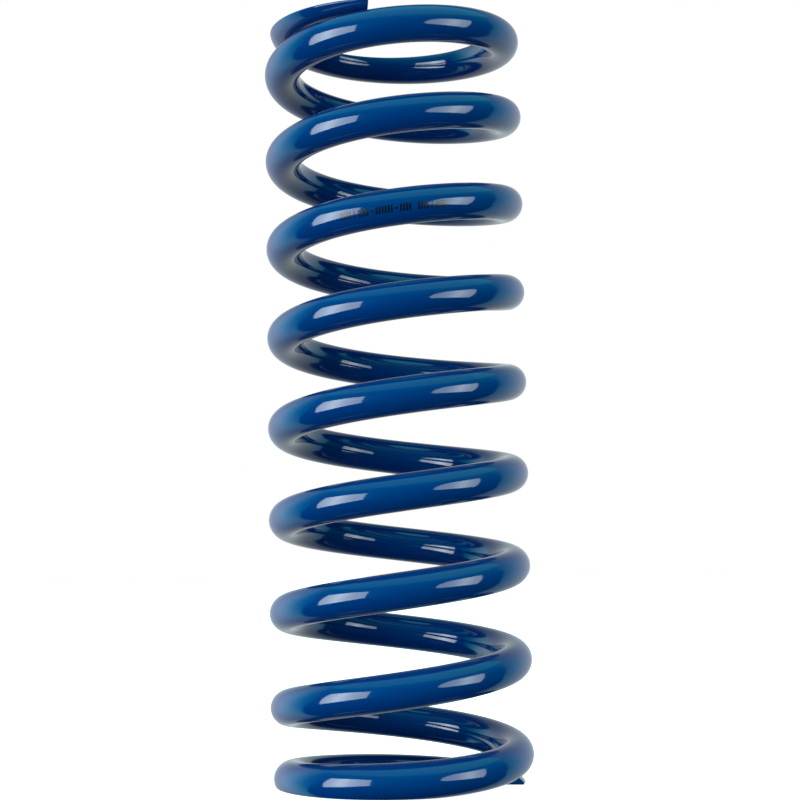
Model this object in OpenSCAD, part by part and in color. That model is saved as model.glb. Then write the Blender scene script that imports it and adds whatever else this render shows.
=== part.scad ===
// Coil spring for a shock absorber.
// One round wire is wound right-handed into a cylinder. At each end the last turn
// closes down onto the coil beside it, draws in a little, and is ground square.
// The wire is cut into stretches by upright planes through the axis. Each stretch
// can then slide along the axis past its neighbours as the spring shortens.
// The origin is on the axis, in the plane of the lower ground face, with +Z up.

/* [Spring] */
// Free length, from ground face to ground face
free_length = 275; // [250:1:320]
// Diameter of the wire over its coating
wire_d = 12.9; // [11:0.1:13.5]
// Inside diameter of the working coils
body_inner_d = 68.4; // [64:0.1:90]
// Turns from the lower tip to the upper tip
total_turns = 9.75; // [9.6:0.05:9.9]
// Angle of the lower tip about the axis, in degrees
tip_angle = -10; // [-180:1:180]
// Share by which the pitch tightens from the lowest to the highest working coil
pitch_drift = 0.063; // [0:0.001:0.1]

/* [Ends] */
// Inside diameter at the two wire tips
end_inner_d = 64; // [60:0.1:90]
// Turns over which an end coil opens out to the working diameter
draw_in_turns = 1; // [0.5:0.05:1.2]
// Thickness left on each wire tip after grinding
tip_thickness = 3.2; // [2:0.1:5]
// Gap between a wire tip and the coil that it lies on
tip_gap = 0.3; // [0.2:0.05:1]
// Turns wound close at each end before the pitch opens
closed_turns = 0.735; // [0.65:0.005:0.8]
// Turns over which the pitch then opens to its full value
opening_turns = 0.4; // [0.3:0.01:0.5]

/* [Smoothness] */
// Rings of points in one turn of the wire
rings_per_turn = 36; // [24:6:48]
// Points round the wire
ring_points = 18; // [12:2:24]

/* [Hidden] */
// Stretches that one turn is cut into, and how many of them work
stretches_per_turn = 3;
working_stretches = 21;

wire_r = wire_d / 2;
body_mean_r = (body_inner_d + wire_d) / 2;
tip_mean_r = (end_inner_d + wire_d) / 2;

// Turns, counted from the lower tip, at which each group of nodes starts or ends
lower_lead_start = 1;
working_start = lower_lead_start + 1 / stretches_per_turn;
working_end = working_start + working_stretches / stretches_per_turn;
upper_lead_end = total_turns - 1;

// Heights of the wire's centre at the tips, where grinding leaves tip_thickness
lower_tip_z = tip_thickness - wire_r;
upper_tip_z = free_length - tip_thickness + wire_r;

// 0 below 0, 1 above 1, and a smooth rise between them
function smooth(x) = let (c = min(1, max(0, x))) c * c * (3 - 2 * c);
// Area under smooth() from 0 to x
function smooth_area(x) = let (c = min(1, max(0, x))) c ^ 3 - c ^ 4 / 2 + max(0, x - 1);

// Turns within a distance of a tip that count as opened to the full pitch, and those
// that count as closed
function opened(turns) = opening_turns * smooth_area((turns - closed_turns) / opening_turns);
function closed(turns) = turns - opened(turns);

// Turns from the lower tip up to t that count as closed at the lower end, as closed at
// the upper end, and as working coils weighted by the drift of their pitch
function lower_closed(t) = closed(t);
function upper_closed(t) = closed(total_turns) - closed(total_turns - t);
function drift(t) =
    let (low = closed_turns + opening_turns / 2)
    let (working_t = min(total_turns - low, max(low, t)))
    ((working_t / total_turns - 0.5) ^ 2 - (low / total_turns - 0.5) ^ 2) * total_turns / 2;
function working(t) = t - lower_closed(t) - upper_closed(t) - pitch_drift * drift(t);

// The closed pitches put each tip tip_gap clear of the next coil, and the working
// pitch takes up the rest of the free length.
tip_step = wire_d + tip_gap;
wire_rise = upper_tip_z - lower_tip_z;
first_turn_closed = lower_closed(1);
first_turn_working = working(1);
last_turn_closed = upper_closed(total_turns) - upper_closed(total_turns - 1);
last_turn_working = working(total_turns) - working(total_turns - 1);
lower_scale = lower_closed(total_turns) / first_turn_closed;
upper_scale = upper_closed(total_turns) / last_turn_closed;
working_pitch = (wire_rise - tip_step * (lower_scale + upper_scale))
    / (working(total_turns) - first_turn_working * lower_scale
        - last_turn_working * upper_scale);
lower_closed_pitch = (tip_step - working_pitch * first_turn_working) / first_turn_closed;
upper_closed_pitch = (tip_step - working_pitch * last_turn_working) / last_turn_closed;

// The wire's centre line: its height, its distance from the axis and its angle
function wire_z(t) = lower_tip_z
    + lower_closed_pitch * lower_closed(t)
    + upper_closed_pitch * upper_closed(t)
    + working_pitch * working(t);
function wire_mean_r(t) = body_mean_r - (body_mean_r - tip_mean_r)
    * (2 - smooth(t / draw_in_turns) - smooth((total_turns - t) / draw_in_turns));
function wire_angle(t) = tip_angle + 360 * t;

// Half the height of the wire's section in an upright plane: a sloping wire is cut a
// little taller there than it is wide
slope_step = 0.01;
function wire_slope(t) =
    (wire_z(t + slope_step) - wire_z(t - slope_step))
    / (2 * slope_step * 2 * PI * wire_mean_r(t));
function upright_r(t) = wire_r * sqrt(1 + wire_slope(t) ^ 2);

// Points sit slightly outside the round, so that the flat-sided section keeps its area
flat_side_growth = sqrt(2 * PI / ring_points / sin(360 / ring_points));

function ring(t) = [
    for (i = [0 : ring_points - 1])
        let (a = 360 * i / ring_points)
        let (out = wire_mean_r(t) + flat_side_growth * wire_r * cos(a))
        let (up = wire_z(t) + flat_side_growth * upright_r(t) * sin(a))
        [out * cos(wire_angle(t)), out * sin(wire_angle(t)), up]
];

// Wire from one turn count to another, as one closed skin with flat ends
module wire(from, to) {
    steps = max(2, round((to - from) * rings_per_turn));
    turns = [for (i = [0 : steps]) from + (to - from) * i / steps];
    sides = [
        for (i = [0 : steps - 1], j = [0 : ring_points - 1])
            let (k = (j + 1) % ring_points)
            let (a = i * ring_points, b = a + ring_points)
            for (face = [[a + j, a + k, b + k], [a + j, b + k, b + j]])
                face
    ];
    first_cap = [for (j = [ring_points - 1 : -1 : 0]) j];
    last_cap = [for (j = [0 : ring_points - 1]) steps * ring_points + j];
    polyhedron(
        points = [for (t = turns) each ring(t)],
        faces = concat(sides, [first_cap, last_cap])
    );
}

// Everything between the two ground planes
module ground_slab() {
    width = 4 * body_mean_r;
    translate([-width / 2, -width / 2, 0])
        cube([width, width, free_length]);
}

module ground_wire(from, to) {
    intersection() {
        wire(from, to);
        ground_slab();
    }
}

// Closed lower turn with the tip and the lower ground face
module lower_end_coil() {
    color("#0d4a8c") ground_wire(0, lower_lead_start);
}

// Rise from the closed lower turn to the first working stretch
module lower_lead() {
    color("#0d4a8c") wire(lower_lead_start, working_start);
}

// One working stretch, numbered from 1 at the bottom
module coil(number) {
    from = working_start + (number - 1) / stretches_per_turn;
    color(number % 2 == 0 ? "#0d4a8c" : "#1259a5")
        wire(from, from + 1 / stretches_per_turn);
}

// Last working stretch's run into the closed upper turn
module upper_lead() {
    color("#0d4a8c") wire(working_end, upper_lead_end);
}

// Closed upper turn with the tip and the upper ground face
module upper_end_coil() {
    color("#0d4a8c") ground_wire(upper_lead_end, total_turns);
}

lower_end_coil();
lower_lead();
coil(1);  // coil_01
coil(2);  // coil_02
coil(3);  // coil_03
coil(4);  // coil_04
coil(5);  // coil_05
coil(6);  // coil_06
coil(7);  // coil_07
coil(8);  // coil_08
coil(9);  // coil_09
coil(10);  // coil_10
coil(11);  // coil_11
coil(12);  // coil_12
coil(13);  // coil_13
coil(14);  // coil_14
coil(15);  // coil_15
coil(16);  // coil_16
coil(17);  // coil_17
coil(18);  // coil_18
coil(19);  // coil_19
coil(20);  // coil_20
coil(21);  // coil_21
upper_lead();
upper_end_coil();
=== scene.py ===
import math
import bpy
import numpy as np
from mathutils import Euler, Matrix, Vector


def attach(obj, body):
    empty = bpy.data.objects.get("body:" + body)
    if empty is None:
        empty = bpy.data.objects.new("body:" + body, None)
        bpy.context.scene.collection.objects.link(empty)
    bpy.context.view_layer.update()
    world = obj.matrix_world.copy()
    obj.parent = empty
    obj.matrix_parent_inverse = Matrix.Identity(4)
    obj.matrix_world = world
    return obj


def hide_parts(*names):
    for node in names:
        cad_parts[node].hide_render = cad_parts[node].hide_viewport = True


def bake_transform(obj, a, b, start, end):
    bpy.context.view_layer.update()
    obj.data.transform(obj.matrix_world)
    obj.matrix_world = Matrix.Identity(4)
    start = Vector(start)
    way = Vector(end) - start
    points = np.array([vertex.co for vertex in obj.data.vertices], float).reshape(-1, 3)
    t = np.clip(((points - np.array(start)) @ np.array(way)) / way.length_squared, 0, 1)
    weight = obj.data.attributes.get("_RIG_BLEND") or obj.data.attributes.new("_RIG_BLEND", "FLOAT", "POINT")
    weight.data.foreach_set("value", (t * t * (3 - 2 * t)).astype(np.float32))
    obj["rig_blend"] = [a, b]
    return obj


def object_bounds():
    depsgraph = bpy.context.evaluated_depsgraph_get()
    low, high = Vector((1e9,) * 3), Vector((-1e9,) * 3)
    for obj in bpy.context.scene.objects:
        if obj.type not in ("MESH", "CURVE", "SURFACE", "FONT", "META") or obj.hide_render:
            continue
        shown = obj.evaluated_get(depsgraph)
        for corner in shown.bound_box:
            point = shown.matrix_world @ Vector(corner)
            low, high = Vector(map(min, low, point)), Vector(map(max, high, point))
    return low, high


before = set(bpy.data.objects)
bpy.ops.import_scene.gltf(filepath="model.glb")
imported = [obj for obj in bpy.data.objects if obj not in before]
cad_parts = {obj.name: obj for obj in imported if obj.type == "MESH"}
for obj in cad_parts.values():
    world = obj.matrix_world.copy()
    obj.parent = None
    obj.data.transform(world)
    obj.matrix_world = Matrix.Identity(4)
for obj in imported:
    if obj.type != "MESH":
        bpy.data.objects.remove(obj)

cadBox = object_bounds()
freeLength = cadBox[1].z - cadBox[0].z  # ground face to ground face
print("frame loaded: spring is", round(freeLength * 1000, 1), "mm long")

# One round wire, wound right-handed. Metres, turns and degrees.
spring = {
    "wireDiameter": 0.0129,  # over the powder coat
    "insideDiameter": 0.0684,  # of the working coils
    "endInsideDiameter": 0.064,  # at the two tips
    "turns": 9.75,
    "tipAngle": -10,  # round the axis
    "tipThickness": 0.0032,  # left on each tip by the grinding
    "tipGap": 0.0003,  # from a tip to the coil it lies on
    "closedTurns": 0.735,  # wound close before the pitch opens
    "openingTurns": 0.4,
    "pitchDrift": 0.063,
    "drawInTurns": 1,
    "endTurns": 1,  # in each end coil
    "stretchTurns": 1 / 3,  # in each working stretch
    "stretches": 21,
    "edgeRadius": 0.0005,  # the coat rounds every ground or cropped edge
    "cropSlant": 15,  # the upper tip is cropped this far off square, shorter inside
    "cropReach": 0.008,  # length of wire that the slant is spread over
    "ringsPerTurn": 132,
    "pointsAround": 72,
}

wireRadius = spring["wireDiameter"] / 2
bodyMeanRadius = (spring["insideDiameter"] + spring["wireDiameter"]) / 2
tipMeanRadius = (spring["endInsideDiameter"] + spring["wireDiameter"]) / 2
turns = spring["turns"]
leadStart = spring["endTurns"]
workStart = leadStart + spring["stretchTurns"]
workEnd = workStart + spring["stretches"] * spring["stretchTurns"]
leadEnd = turns - spring["endTurns"]
travelSteps = spring["stretches"] + 1  # equal steps of travel, one from each body to the next


def smoothStep(x):
    c = np.clip(x, 0, 1)
    return c * c * (3 - 2 * c)


def smoothArea(x):  # area under smoothStep from 0 to x
    c = np.clip(x, 0, 1)
    return c ** 3 - c ** 4 / 2 + np.maximum(0, x - 1)


def closedTurnsWithin(distance):  # turns that count as closed, this far in from a tip
    opening = spring["openingTurns"]
    opened = opening * smoothArea((distance - spring["closedTurns"]) / opening)
    return distance - opened


def lowerClosed(t):
    return closedTurnsWithin(t)


def upperClosed(t):
    return closedTurnsWithin(turns) - closedTurnsWithin(turns - t)


def workingTurns(t):  # the pitch tightens a little from the bottom to the top
    low = spring["closedTurns"] + spring["openingTurns"] / 2
    c = np.clip(t, low, turns - low)
    drift = ((c / turns - 0.5) ** 2 - (low / turns - 0.5) ** 2) * turns / 2
    return t - lowerClosed(t) - upperClosed(t) - spring["pitchDrift"] * drift


def findPitches():  # the closed pitches clear the tips, the working pitch fills the rest
    tipStep = spring["wireDiameter"] + spring["tipGap"]
    firstClosed = lowerClosed(1)
    lastClosed = upperClosed(turns) - upperClosed(turns - 1)
    firstWorking = workingTurns(1)
    lastWorking = workingTurns(turns) - workingTurns(turns - 1)
    lowerScale = lowerClosed(turns) / firstClosed
    upperScale = upperClosed(turns) / lastClosed
    rise = freeLength - 2 * (spring["tipThickness"] - wireRadius)
    working = (rise - tipStep * (lowerScale + upperScale)) / (
        workingTurns(turns) - firstWorking * lowerScale - lastWorking * upperScale
    )
    lower = (tipStep - working * firstWorking) / firstClosed
    upper = (tipStep - working * lastWorking) / lastClosed
    return lower, working, upper


lowerPitch, workingPitch, upperPitch = findPitches()
print("pitch of the working coils:", round(workingPitch * 1000, 2), "mm")


def wireHeight(t):
    return (
        cadBox[0].z
        + spring["tipThickness"]
        - wireRadius
        + lowerPitch * lowerClosed(t)
        + upperPitch * upperClosed(t)
        + workingPitch * workingTurns(t)
    )


def wireMeanRadius(t):
    drawIn = spring["drawInTurns"]
    drawn = 2 - smoothStep(t / drawIn) - smoothStep((turns - t) / drawIn)
    return bodyMeanRadius - (bodyMeanRadius - tipMeanRadius) * drawn


def wireAngle(t):
    return np.radians(spring["tipAngle"] + 360 * t)


def uprightStretch(t):  # a sloping wire is cut taller than wide by an upright plane
    step = 0.01
    rise = wireHeight(t + step) - wireHeight(t - step)
    slope = rise / (4 * math.pi * step * wireMeanRadius(t))
    return np.sqrt(1 + slope ** 2)


def wireCentre(t):
    angle = float(wireAngle(t))
    radius = float(wireMeanRadius(t))
    return Vector((radius * math.cos(angle), radius * math.sin(angle), float(wireHeight(t))))


def halfSection(groundDepth):
    # Half of the wire's section, from its lowest point round the outside to its top: the
    # directions in which the surface faces, and the points. It is a half circle, unless a
    # ground face lies less than a radius below the centre.
    half = spring["pointsAround"] // 2
    low = half * 13 // 36  # points kept for a ground face and its rounded edge
    edge = spring["edgeRadius"]
    crowding = 3  # the edge gets its points this much closer together
    naturalSide = -math.pi / 2 + math.pi * low / half
    depth = np.minimum(groundDepth, wireRadius)[:, None]
    flat = np.sqrt(np.maximum(0, (wireRadius - edge) ** 2 - (depth - edge) ** 2))
    roundStart = np.arctan2(edge - depth, flat)
    side = np.maximum(roundStart, naturalSide)
    edgeLength = crowding * edge * (roundStart + math.pi / 2)
    total = flat + edgeLength + wireRadius * (side - roundStart)
    i = np.arange(half + 1)[None, :]
    along = np.minimum(i / low, 1) * total
    onEdge = (along < flat + edgeLength) & (i < low) | (i == low) & (side <= roundStart)
    edgeTurn = np.clip((along - flat) / (crowding * edge), 0, None)
    edgeFacing = np.minimum(-math.pi / 2 + edgeTurn, roundStart)
    roundFacing = roundStart + np.maximum(0, along - flat - edgeLength) / wireRadius
    upperFacing = side + (math.pi / 2 - side) * (i - low) / (half - low)
    facing = np.where(onEdge, edgeFacing, np.where(i <= low, roundFacing, upperFacing))
    radius = np.where(onEdge, edge, wireRadius)
    x = np.where(onEdge, np.minimum(along, flat), 0) + radius * np.cos(facing)
    y = np.where(onEdge, edge - depth, 0) + radius * np.sin(facing)
    x[:, [0, half]] = 0
    return facing, x, y


def wholeSection(t):
    # The full section at each t, counted from its lowest point towards the outside.
    upper = t > turns / 2
    height = wireHeight(t)
    groundDepth = np.where(upper, cadBox[1].z - height, height - cadBox[0].z)
    facing, x, y = halfSection(groundDepth / uprightStretch(t))
    flipped = upper[:, None]
    facing = np.where(flipped, -facing[:, ::-1], facing)
    x = np.where(flipped, x[:, ::-1], x)
    y = np.where(flipped, -y[:, ::-1], y)
    back = slice(-2, 0, -1)
    facing = np.hstack([facing, math.pi - facing[:, back]])
    return facing, np.hstack([x, -x[:, back]]), np.hstack([y, y[:, back]])


def ringsAt(t, inset=0):  # points in space on the rings at t, drawn in from the surface
    facing, x, y = wholeSection(t)
    x = x - np.cos(facing) * inset
    y = y - np.sin(facing) * inset
    angle = wireAngle(t)[:, None]
    out = wireMeanRadius(t)[:, None] + x
    up = wireHeight(t)[:, None] + y * uprightStretch(t)[:, None]
    return np.stack([out * np.cos(angle), out * np.sin(angle), up], axis=2), facing


def ringNormals(t, facing):
    step = 1e-4  # turns
    sweep = ringsAt(t + step)[0] - ringsAt(t - step)[0]
    angle = wireAngle(t)[:, None]
    flat = np.cos(facing)
    rise = np.sin(facing) / uprightStretch(t)[:, None]
    normal = np.stack([flat * np.cos(angle), flat * np.sin(angle), rise], axis=2)
    ahead = np.stack([-np.sin(angle), np.cos(angle), np.zeros_like(angle)], axis=2)
    tilt = (normal * sweep).sum(2) / (ahead * sweep).sum(2)
    normal = normal - tilt[..., None] * ahead
    return normal / np.linalg.norm(normal, axis=2)[..., None]


def travelShare(t):  # share of the whole travel that the wire follows at t
    width = spring["stretchTurns"]
    moved = width * (smoothArea((t - leadStart) / width) - smoothArea((t - workEnd) / width))
    return moved / (travelSteps * width)


def buildWire(name, start, end, tipAtStart=False, tipAtEnd=False):
    # One closed stretch of the wire, with each cut end flat and each tip's edge rounded.
    steps = round((end - start) * spring["ringsPerTurn"])
    t = np.linspace(start, end, steps + 1)
    edge = 0.8 * spring["edgeRadius"]  # less than the ground edge, so that both fit
    turnLength = 2 * math.pi * tipMeanRadius
    corner = np.radians([0, 15, 30, 45, 60, 75, 90])
    cornerInset = edge * (1 - np.cos(corner))
    cornerBack = edge * (1 - np.sin(corner)) / turnLength
    inset = np.zeros(len(t))
    lean = np.zeros(len(t))  # how far each ring already faces the tip
    if tipAtStart:
        t = np.concatenate([start + cornerBack[::-1], t[1:]])
        inset = np.concatenate([cornerInset[::-1], inset[1:]])
        lean = np.concatenate([-corner[::-1], lean[1:]])
    if tipAtEnd:
        t = np.concatenate([t[:-1], end - cornerBack])
        inset = np.concatenate([inset[:-1], cornerInset])
        lean = np.concatenate([lean[:-1], corner])
    points, facing = ringsAt(t, inset[:, None])
    normals = ringNormals(t, facing)
    angle = wireAngle(t)
    ahead = np.stack([-np.sin(angle), np.cos(angle), np.zeros_like(angle)], axis=1)
    normals = normals * np.cos(lean)[:, None, None] + ahead[:, None] * np.sin(lean)[:, None, None]
    slant = math.tan(math.radians(spring["cropSlant"])) if tipAtEnd else 0
    if slant:
        depth = wireMeanRadius(t)[:, None] + wireRadius - np.hypot(points[..., 0], points[..., 1])
        near = np.clip(1 - (end - t) * turnLength / spring["cropReach"], 0, 1)
        shift = slant * depth * near[:, None]
        points = points - ahead[:, None] * shift[..., None]
    around = spring["pointsAround"]
    rings = len(t)
    i, j = np.meshgrid(np.arange(rings - 1), np.arange(around), indexing="ij")
    k = (j + 1) % around
    quads = np.stack([i, i + 1, i + 1, i], axis=2) * around + np.stack([j, j, k, k], axis=2)
    quads = quads.reshape(-1, 4)
    startCap = list(range(around))
    endCap = [(rings - 1) * around + n for n in range(around - 1, -1, -1)]
    mesh = bpy.data.meshes.new(name)
    mesh.from_pydata(points.reshape(-1, 3).tolist(), [], quads.tolist() + [startCap, endCap])
    mesh.polygons.foreach_set("use_smooth", [True] * len(mesh.polygons))
    sideNormals = normals.reshape(-1, 3)[quads.ravel()]
    outward = np.array([np.cos(angle[-1]), np.sin(angle[-1]), 0])
    endFacing = (ahead[-1] - slant * outward) / math.hypot(1, slant)
    capNormals = np.repeat([-ahead[0], endFacing], around, axis=0)
    mesh.normals_split_custom_set(np.vstack([sideNormals, capNormals]).tolist())
    piece = bpy.data.objects.new(name, mesh)
    bpy.context.scene.collection.objects.link(piece)
    return piece, np.repeat(travelShare(t), around)


def stretchWith(piece, share, body, bodyShare, start, end):
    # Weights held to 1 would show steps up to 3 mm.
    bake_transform(piece, "root", body, start=wireCentre(start), end=wireCentre(end))
    weights = piece.data.attributes["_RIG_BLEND"]
    weights.data.foreach_set("value", (share / bodyShare).astype(np.float32))


def linearColour(hexText):
    channels = [int(hexText[i:i + 2], 16) / 255 for i in (1, 3, 5)]
    linear = [c / 12.92 if c <= 0.04045 else ((c + 0.055) / 1.055) ** 2.4 for c in channels]
    return (*linear, 1)


def addNode(tree, kind, settings=None, links=None):
    node = tree.nodes.new(kind)
    for name, value in (settings or {}).items():
        if isinstance(name, int) or name in node.inputs:
            node.inputs[name].default_value = value
        else:
            setattr(node, name, value)
    for name, source in (links or {}).items():
        tree.links.new(source, node.inputs[name])
    return node


coat = {
    "colour": "#002f69",
    "thinColour": "#002c63",  # where the powder fell thinner
    "shadedInsideColour": "#00245a",  # painted shade: darker inside the coil, where less light falls
    "patchSize": 0.03,
    "roughness": 0.07,
    "groundRoughness": 0.4,
    "peelSize": 0.003,  # across one wave of the orange peel
    "peelHeight": 0.000004,
}


def makePowderCoat(name, roughness):
    # Polyester powder coat, baked glossy on spring steel. The eye gets one deep blue,
    # crisp reflections of the lamps, and a faint orange peel that makes their edges waver.
    # Over the grinding marks of the ground faces it is duller and spreads the reflections.
    material = bpy.data.materials.new(name)
    material.use_nodes = True
    tree = material.node_tree
    tree.nodes.clear()
    place = addNode(tree, "ShaderNodeTexCoord")
    patches = addNode(
        tree, "ShaderNodeTexNoise",
        {"Scale": 1 / coat["patchSize"], "Detail": 2},
        {"Vector": place.outputs["Object"]},
    )
    outside = addNode(
        tree, "ShaderNodeMix",
        {"data_type": "RGBA", 6: linearColour(coat["thinColour"]), 7: linearColour(coat["colour"])},
        {0: patches.outputs["Fac"]},
    )
    # Painted shade: the blue darkens towards the inside of the coil, where less light falls.
    flat = addNode(
        tree, "ShaderNodeVectorMath", {"operation": "MULTIPLY", 1: (1, 1, 0)},
        {0: place.outputs["Object"]},
    )
    fromAxis = addNode(
        tree, "ShaderNodeVectorMath", {"operation": "LENGTH"}, {0: flat.outputs[0]}
    )
    reach = addNode(
        tree, "ShaderNodeMapRange",
        {"From Min": bodyMeanRadius - wireRadius / 2, "From Max": bodyMeanRadius + wireRadius / 2},
        {"Value": fromAxis.outputs["Value"]},
    )
    colour = addNode(
        tree, "ShaderNodeMix", {"data_type": "RGBA", 6: linearColour(coat["shadedInsideColour"])},
        {0: reach.outputs[0], 7: outside.outputs[2]},
    )
    peel = addNode(
        tree, "ShaderNodeTexNoise",
        {"Scale": 1 / coat["peelSize"], "Detail": 1, "Roughness": 0.4},
        {"Vector": place.outputs["Object"]},
    )
    bump = addNode(
        tree, "ShaderNodeBump",
        {"Strength": 1, "Distance": coat["peelHeight"]},
        {"Height": peel.outputs["Fac"]},
    )
    shader = addNode(
        tree, "ShaderNodeBsdfPrincipled",
        {"Roughness": roughness, "IOR": 1.5},
        {"Base Color": colour.outputs[2], "Normal": bump.outputs["Normal"]},
    )
    addNode(tree, "ShaderNodeOutputMaterial", None, {"Surface": shader.outputs["BSDF"]})
    return material


powderCoat = makePowderCoat("glossBluePowderCoat", coat["roughness"])
groundCoat = makePowderCoat("bluePowderCoatOnGroundSteel", coat["groundRoughness"])


def finishPiece(piece, node):
    piece.data.materials.append(powderCoat)
    if "end_coil" in node:
        piece.data.materials.append(groundCoat)
        for face in piece.data.polygons:
            face.material_index = int(abs(face.normal.z) > 0.9999)
    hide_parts(node)


piece = buildWire("lower_end_coil_wire", 0, leadStart, tipAtStart=True)[0]
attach(piece, "root")
finishPiece(piece, "lower_end_coil")

piece, share = buildWire("lower_lead_wire", leadStart, workStart)
stretchWith(piece, share, "coil_01_stretch", 1 / travelSteps, leadStart, workStart)
finishPiece(piece, "lower_lead")

for number in range(1, spring["stretches"] + 1):
    node = f"coil_{number:02d}"
    start = workStart + (number - 1) * spring["stretchTurns"]
    end = start + spring["stretchTurns"]
    piece, share = buildWire(node + "_wire", start, end)
    stretchWith(piece, share, node + "_stretch", number / travelSteps, start, end)
    finishPiece(piece, node)

piece, share = buildWire("upper_lead_wire", workEnd, leadEnd)
stretchWith(piece, share, "upper_end", 1, workEnd, leadEnd)
finishPiece(piece, "upper_lead")

piece = buildWire("upper_end_coil_wire", leadEnd, turns, tipAtEnd=True)[0]
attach(piece, "upper_end")
finishPiece(piece, "upper_end_coil")
print("wire made, with", spring["stretches"], "working stretches")

ink = {
    "coil": 17,
    "colour": "#08080c",
    "roughness": 0.22,
    "middle": 6.7765,  # turns from the lower tip
    "facing": -14,  # degrees round the wire from level
    "spacing": 0.0021,
    "barHeight": 0.0025,
    "barWidth": 0.00062,
    "pairGap": 0.001,  # between the middles of two bars
    "dash": (0.0011, 0.0006),  # width and height
    "thickness": 0.00002,
    "marks": "ttitt-ttt-tt ttitt",  # t two bars, i one bar, - a dash
}


def makeInk():
    # Black marking ink, jet printed over the coat. Thinner and duller than the coat, so the
    # eye gets flat black bars that dull the lamps' reflections.
    material = bpy.data.materials.new("blackMarkingInk")
    material.use_nodes = True
    shader = material.node_tree.nodes["Principled BSDF"]
    shader.inputs["Base Color"].default_value = linearColour(ink["colour"])
    shader.inputs["Roughness"].default_value = ink["roughness"]
    shader.inputs["IOR"].default_value = 1.5
    return material


def inkBars():  # middle along the wire, width and height of each bar and dash
    bars = []
    for index, mark in enumerate(ink["marks"]):
        middle = (index - (len(ink["marks"]) - 1) / 2) * ink["spacing"]
        if mark == "-":
            bars.append((middle, *ink["dash"]))
        elif mark == "i":
            bars.append((middle, ink["barWidth"], ink["barHeight"]))
        elif mark == "t":
            for side in (-0.5, 0.5):
                place = middle + side * ink["pairGap"]
                bars.append((place, ink["barWidth"], ink["barHeight"]))
    return bars


def buildInkMarks(name):  # each bar is a thin closed shell laid on the coat
    facing = math.radians(ink["facing"])
    turnLength = 2 * math.pi * (bodyMeanRadius + wireRadius * math.cos(facing))
    rows = 9  # of points up each bar, so that it follows the round wire
    points = []
    faces = []
    allTurns = []
    for middle, width, height in inkBars():
        side = np.array([-0.5, 0.5, 0.5, -0.5]) * width
        lift = np.array([1, 1, -1, -1]) * ink["thickness"]
        t = np.tile(ink["middle"] + (middle + side) / turnLength, (rows, 1))
        around = facing + np.linspace(-0.5, 0.5, rows)[:, None] * height / wireRadius
        reach = wireRadius + np.tile(lift, (rows, 1))
        out = wireMeanRadius(t) + reach * np.cos(around)
        up = wireHeight(t) + reach * np.sin(around) * uprightStretch(t)
        angle = wireAngle(t)
        first = len(points)
        bar = np.stack([out * np.cos(angle), out * np.sin(angle), up], axis=2)
        points += bar.reshape(-1, 3).tolist()
        allTurns.append(t.ravel())
        for row in range(rows - 1):
            for corner in range(4):
                a = first + row * 4 + corner
                b = first + row * 4 + (corner + 1) % 4
                faces.append((a, b, b + 4, a + 4))
        faces.append((first + 3, first + 2, first + 1, first))
        last = first + (rows - 1) * 4
        faces.append((last, last + 1, last + 2, last + 3))
    mesh = bpy.data.meshes.new(name)
    mesh.from_pydata(points, [], faces)
    piece = bpy.data.objects.new(name, mesh)
    bpy.context.scene.collection.objects.link(piece)
    return piece, travelShare(np.concatenate(allTurns))


inkBody = f"coil_{ink['coil']:02d}_stretch"
inkStart = workStart + (ink["coil"] - 1) * spring["stretchTurns"]
inkEnd = inkStart + spring["stretchTurns"]
piece, share = buildInkMarks("ink_marks")
stretchWith(piece, share, inkBody, ink["coil"] / travelSteps, inkStart, inkEnd)
piece.data.materials.append(makeInk())
print("ink marks made:", len(inkBars()), "bars")

studio = {
    "cameraPlace": (0, -0.6614, 0.0803),
    "cameraTilt": 4.995,  # looks up
    "cameraRoll": 0.8706,
    "lens": 81.91,
    "shift": 0.0035,
    "boxDistance": 1.45,  # from the middle of the spring to each softbox
    "boxLevel": 0.13,  # height from which the softboxes' corners are sighted
    "boxColour": (0.81, 0.96, 1, 1),
}

# Corners as turn and rise in degrees, seen from the spring; 0 is towards the camera.
leftSoftbox = {
    "facing": -56,
    "corners": [(-74, -18.5), (-29, -13.5), (-29.5, 18), (-45, 22.5), (-57, 23.5), (-72, 23.5)],
    "glow": 5.7,
    "hotGlow": 6.0,  # more in front of the flash tube
    "hotWidth": 0.24,
}
rightSoftbox = {
    "facing": 57,
    "corners": [
        (73.2, -18), (74.5, 19.5), (54, 18.5), (45, 17.5), (38, 13.5), (33, 7.5), (30.5, -2),
        (31.5, -9), (35, -12.5), (45, -15), (54, -16),
    ],
    "glow": 3.7,
    "hotGlow": 4.0,
    "hotWidth": 0.21,
}


def lookDirection(turn, rise):
    turn, rise = math.radians(turn), math.radians(rise)
    level = math.cos(rise)
    return Vector((math.sin(turn) * level, -math.cos(turn) * level, math.sin(rise)))


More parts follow.
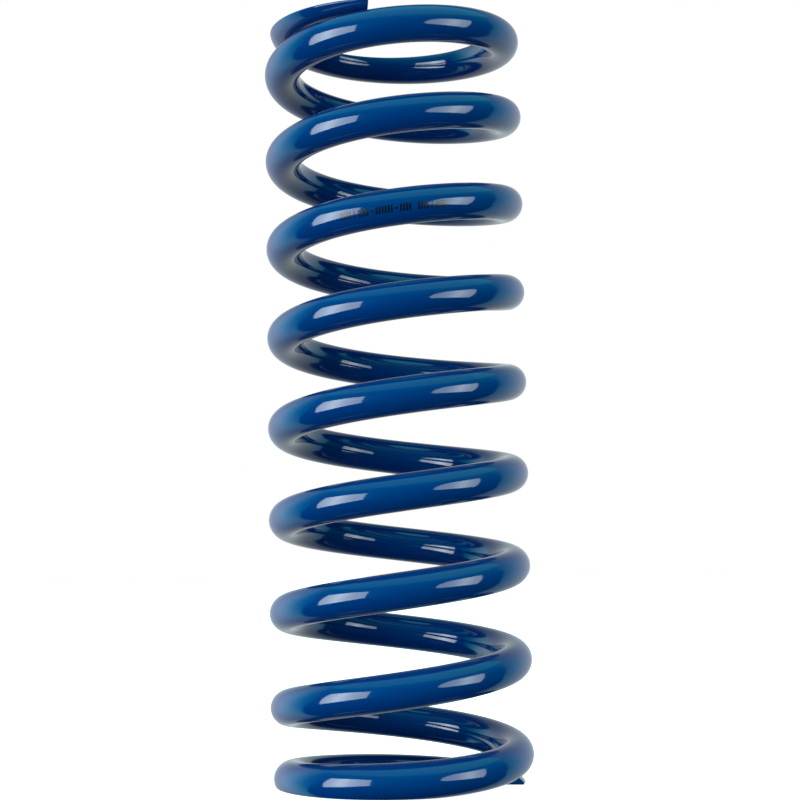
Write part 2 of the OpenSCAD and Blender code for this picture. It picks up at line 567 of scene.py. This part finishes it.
def addSoftbox(name, box):
    facing = lookDirection(box["facing"], 0)
    across = Vector((0, 0, 1)).cross(facing)
    outline = []
    for turn, rise in box["corners"]:
        ray = lookDirection(turn, rise)
        ray = ray * (studio["boxDistance"] / ray.dot(facing))
        outline.append((ray.dot(across), ray.z, 0))
    mesh = bpy.data.meshes.new(name)
    mesh.from_pydata(outline, [], [range(len(outline))])
    panel = bpy.data.objects.new(name, mesh)
    bpy.context.scene.collection.objects.link(panel)
    turned = Matrix((across, Vector((0, 0, 1)), facing)).transposed().to_4x4()
    middle = facing * studio["boxDistance"] + Vector((0, 0, studio["boxLevel"]))
    panel.matrix_world = Matrix.Translation(middle) @ turned
    material = bpy.data.materials.new(name)
    material.use_nodes = True
    tree = material.node_tree
    tree.nodes.clear()
    place = addNode(tree, "ShaderNodeTexCoord")
    offset = addNode(tree, "ShaderNodeSeparateXYZ", None, {0: place.outputs["Object"]})
    away = addNode(
        tree, "ShaderNodeMath", {"operation": "DIVIDE", 1: box["hotWidth"]},
        {0: offset.outputs["X"]},
    )
    squared = addNode(
        tree, "ShaderNodeMath", {"operation": "MULTIPLY_ADD", 2: 1.0},
        {0: away.outputs[0], 1: away.outputs[0]},
    )
    hot = addNode(
        tree, "ShaderNodeMath", {"operation": "DIVIDE", 0: box["hotGlow"]},
        {1: squared.outputs[0]},
    )
    glow = addNode(
        tree, "ShaderNodeMath", {"operation": "ADD", 1: box["glow"]}, {0: hot.outputs[0]}
    )
    shader = addNode(
        tree, "ShaderNodeEmission", {"Color": studio["boxColour"]}, {"Strength": glow.outputs[0]}
    )
    addNode(tree, "ShaderNodeOutputMaterial", None, {"Surface": shader.outputs[0]})
    mesh.materials.append(material)
    panel.visible_camera = False


room = {
    "wallLine": (-0.17, 1, 0),  # the pale walls start where this way of looking is level
    "wallEdge": (-0.02, 0.08),  # how softly they start
    "floorLine": (-0.1, 1, 0.53),  # and the dark floor ends along this one
    "floorEdge": (-0.04, 0.04),
    "wallGlow": (0.4, 0.74),  # at the sides, and straight behind
    "wallRed": (0.05, 0.85),  # share of red there; the rest of the light is bluish
    "wallRedReach": (0.08, 0.8),  # how far back the red starts and is whole
    "wallFade": 1.05,  # how fast the walls dim away from level
    "wallTop": (0.72, 0.82),  # height where the walls fade out
    # turn, strength and sharpness of each pool of light
    "wallPools": [(-117, 1.35, 12), (122, 0.5, 9)],
    "spill": (-30, 0.36, 25),  # beside the left softbox
    "overhead": (0.08, -0.05, 1),  # way up from the edge of the broad light above
    "overheadBack": (0.34, 0.5),  # where that light fades out behind the spring
    "faded": 0.1,  # what is left of a light past where it fades out
    "brightest": 2,  # what 1 stands for in the ramp
    # light on the camera's side and overhead: height, brightness and share of red
    "frontRamp": [
        (-1, 0, 0), (-0.6, 0.02, 0), (-0.3, 0.07, 0), (0.05, 0.14, 0), (0.22, 0.2, 0),
        (0.39, 0.3, 0), (0.54, 0.5, 0), (0.67, 0.64, 0.02), (0.715, 1.15, 0.14),
        (0.89, 1.3, 0.16), (1, 1.5, 0.16),
    ],
}


def addPool(tree, look, turn, strength, sharpness):  # light that falls off round one way
    towards = addNode(
        tree, "ShaderNodeVectorMath",
        {"operation": "DOT_PRODUCT", 1: lookDirection(turn, 0)}, {0: look},
    )
    falloff = addNode(
        tree, "ShaderNodeMath", {"operation": "MULTIPLY_ADD", 1: sharpness, 2: -sharpness},
        {0: towards.outputs["Value"]},
    )
    spread = addNode(tree, "ShaderNodeMath", {"operation": "EXPONENT"}, {0: falloff.outputs[0]})
    pool = addNode(
        tree, "ShaderNodeMath", {"operation": "MULTIPLY", 1: strength}, {0: spread.outputs[0]}
    )
    return pool.outputs[0]


def makeRoom():
    # White to the camera. The spring itself sees a dark room in front, pale walls at the
    # sides and back, and a broad soft light above it.
    world = bpy.data.worlds.new("studioRoom")
    bpy.context.scene.world = world
    world.use_nodes = True
    tree = world.node_tree
    tree.nodes.clear()
    look = addNode(tree, "ShaderNodeTexCoord").outputs["Generated"]
    flat = addNode(
        tree, "ShaderNodeVectorMath", {"operation": "MULTIPLY", 1: (1, 1, 0)}, {0: look}
    )
    level = addNode(tree, "ShaderNodeVectorMath", {"operation": "NORMALIZE"}, {0: flat.outputs[0]})
    way = addNode(tree, "ShaderNodeSeparateXYZ", None, {0: look})
    levelWay = addNode(tree, "ShaderNodeSeparateXYZ", None, {0: level.outputs[0]})

    wallStart, wallWhole = room["wallEdge"]
    onWall = addNode(
        tree, "ShaderNodeVectorMath",
        {"operation": "DOT_PRODUCT", 1: room["wallLine"]}, {0: level.outputs[0]},
    )
    wallMask = addNode(
        tree, "ShaderNodeMapRange",
        {"interpolation_type": "SMOOTHSTEP", "From Min": wallStart, "From Max": wallWhole},
        {"Value": onWall.outputs["Value"]},
    )
    floorEnd, floorGone = room["floorEdge"]
    offFloor = addNode(
        tree, "ShaderNodeVectorMath",
        {"operation": "DOT_PRODUCT", 1: room["floorLine"]}, {0: look},
    )
    floorMask = addNode(
        tree, "ShaderNodeMapRange",
        {"interpolation_type": "SMOOTHSTEP", "From Min": floorEnd, "From Max": floorGone},
        {"Value": offFloor.outputs["Value"]},
    )
    mask = addNode(
        tree, "ShaderNodeMath", {"operation": "MULTIPLY"},
        {0: wallMask.outputs[0], 1: floorMask.outputs[0]},
    )
    sideGlow, backGlow = room["wallGlow"]
    glow = addNode(
        tree, "ShaderNodeMapRange",
        {"From Min": 0, "From Max": 1, "To Min": sideGlow, "To Max": backGlow},
        {"Value": levelWay.outputs["Y"]},
    ).outputs[0]
    for pool in room["wallPools"]:
        light = addPool(tree, level.outputs[0], *pool)
        glow = addNode(
            tree, "ShaderNodeMath", {"operation": "ADD"}, {0: glow, 1: light}
        ).outputs[0]
    offLevel = addNode(
        tree, "ShaderNodeMath", {"operation": "MULTIPLY"},
        {0: way.outputs["Z"], 1: way.outputs["Z"]},
    )
    fade = addNode(
        tree, "ShaderNodeMath", {"operation": "MULTIPLY_ADD", 1: -room["wallFade"], 2: 1.0},
        {0: offLevel.outputs[0]},
    )
    glow = addNode(
        tree, "ShaderNodeMath", {"operation": "MULTIPLY"}, {0: glow, 1: fade.outputs[0]}
    ).outputs[0]
    glow = addNode(
        tree, "ShaderNodeMath", {"operation": "MULTIPLY"}, {0: glow, 1: mask.outputs[0]}
    ).outputs[0]
    wallsTo, wallsGone = room["wallTop"]
    top = addNode(
        tree, "ShaderNodeMapRange",
        {"From Min": wallsTo, "From Max": wallsGone, "To Min": 1, "To Max": room["faded"]},
        {"Value": way.outputs["Z"]},
    )
    glow = addNode(
        tree, "ShaderNodeMath", {"operation": "MULTIPLY"}, {0: glow, 1: top.outputs[0]}
    ).outputs[0]
    sideRed, backRed = room["wallRed"]
    redStart, redWhole = room["wallRedReach"]
    red = addNode(
        tree, "ShaderNodeMapRange",
        {"From Min": redStart, "From Max": redWhole, "To Min": sideRed, "To Max": backRed},
        {"Value": way.outputs["Y"]},
    )
    wallTint = addNode(
        tree, "ShaderNodeCombineXYZ", {"Y": 0.97, "Z": 1.0}, {"X": red.outputs[0]}
    )
    walls = addNode(
        tree, "ShaderNodeVectorMath", {"operation": "SCALE"},
        {0: wallTint.outputs[0], "Scale": glow},
    )

    rise = addNode(
        tree, "ShaderNodeVectorMath",
        {"operation": "DOT_PRODUCT", 1: room["overhead"]}, {0: look},
    )
    place = addNode(
        tree, "ShaderNodeMath", {"operation": "MULTIPLY_ADD", 1: 0.5, 2: 0.5},
        {0: rise.outputs["Value"]},
    )
    ramp = addNode(tree, "ShaderNodeValToRGB", None, {0: place.outputs[0]})
    brightest = room["brightest"]
    stops = ramp.color_ramp.elements
    while len(stops) < len(room["frontRamp"]):
        stops.new(0.5)
    for stop, (up, bright, redShare) in zip(stops, room["frontRamp"]):
        share = bright / brightest
        stop.position = up / 2 + 0.5
        stop.color = (share * redShare, share, share, 1)
    lightTo, lightGone = room["overheadBack"]
    dimmed = brightest * room["faded"]
    scale = addNode(
        tree, "ShaderNodeMapRange",
        {"From Min": lightTo, "From Max": lightGone, "To Min": brightest, "To Max": dimmed},
        {"Value": way.outputs["Y"]},
    )
    front = addNode(
        tree, "ShaderNodeVectorMath", {"operation": "SCALE"},
        {0: ramp.outputs["Color"], "Scale": scale.outputs[0]},
    )
    spillPool = addPool(tree, look, *room["spill"])
    spill = addNode(tree, "ShaderNodeCombineXYZ", None, {"Y": spillPool, "Z": spillPool})
    front = addNode(
        tree, "ShaderNodeVectorMath", {"operation": "ADD"},
        {0: front.outputs[0], 1: spill.outputs[0]},
    )
    light = addNode(
        tree, "ShaderNodeVectorMath", {"operation": "MAXIMUM"},
        {0: front.outputs[0], 1: walls.outputs[0]},
    )
    tinted = addNode(tree, "ShaderNodeBackground", None, {"Color": light.outputs[0]})
    white = addNode(tree, "ShaderNodeBackground", {"Color": (1, 1, 1, 1), "Strength": 1.0})
    lightPath = addNode(tree, "ShaderNodeLightPath")
    seen = addNode(
        tree, "ShaderNodeMixShader", None,
        {0: lightPath.outputs["Is Camera Ray"], 1: tinted.outputs[0], 2: white.outputs[0]},
    )
    addNode(tree, "ShaderNodeOutputWorld", None, {"Surface": seen.outputs[0]})


floorPaper = {
    "reach": 8,  # each way from the spring
    "tone": (0.8, 0.8, 0.8, 1),
    "roughness": 0.9,
    "glow": 0.9,  # lifts it to the white of the backdrop
}


def makeFloor():
    # White paper, seen by the camera only. The eye gets a plain ground with no edge.
    reach = floorPaper["reach"]
    level = cadBox[0].z
    corners = [
        (-reach, -reach, level), (reach, -reach, level), (reach, reach, level),
        (-reach, reach, level),
    ]
    mesh = bpy.data.meshes.new("studioFloor")
    mesh.from_pydata(corners, [], [(0, 1, 2, 3)])
    floor = bpy.data.objects.new("studioFloor", mesh)
    bpy.context.scene.collection.objects.link(floor)
    material = bpy.data.materials.new("palePaper")
    material.use_nodes = True
    shader = material.node_tree.nodes["Principled BSDF"]
    shader.inputs["Base Color"].default_value = floorPaper["tone"]
    shader.inputs["Roughness"].default_value = floorPaper["roughness"]
    shader.inputs["Emission Color"].default_value = (1, 1, 1, 1)
    shader.inputs["Emission Strength"].default_value = floorPaper["glow"]
    mesh.materials.append(material)
    floor.visible_glossy = False
    floor.visible_diffuse = False
    floor.visible_shadow = False


def addCamera():
    camera = bpy.data.objects.new("camera", bpy.data.cameras.new("camera"))
    camera.data.lens = studio["lens"]
    camera.data.sensor_width = 36
    camera.data.shift_x = studio["shift"]
    camera.data.clip_start = 0.01
    tilt = Euler((math.radians(90 + studio["cameraTilt"]), 0, 0)).to_matrix()
    roll = Matrix.Rotation(-math.radians(studio["cameraRoll"]), 3, "Z")
    camera.rotation_euler = (tilt @ roll).to_euler()
    camera.location = studio["cameraPlace"]
    bpy.context.scene.collection.objects.link(camera)
    bpy.context.scene.camera = camera


makeRoom()
makeFloor()
addSoftbox("leftSoftbox", leftSoftbox)
addSoftbox("rightSoftbox", rightSoftbox)
addCamera()
bpy.context.scene.view_settings.view_transform = "Standard"
print("studio ready")
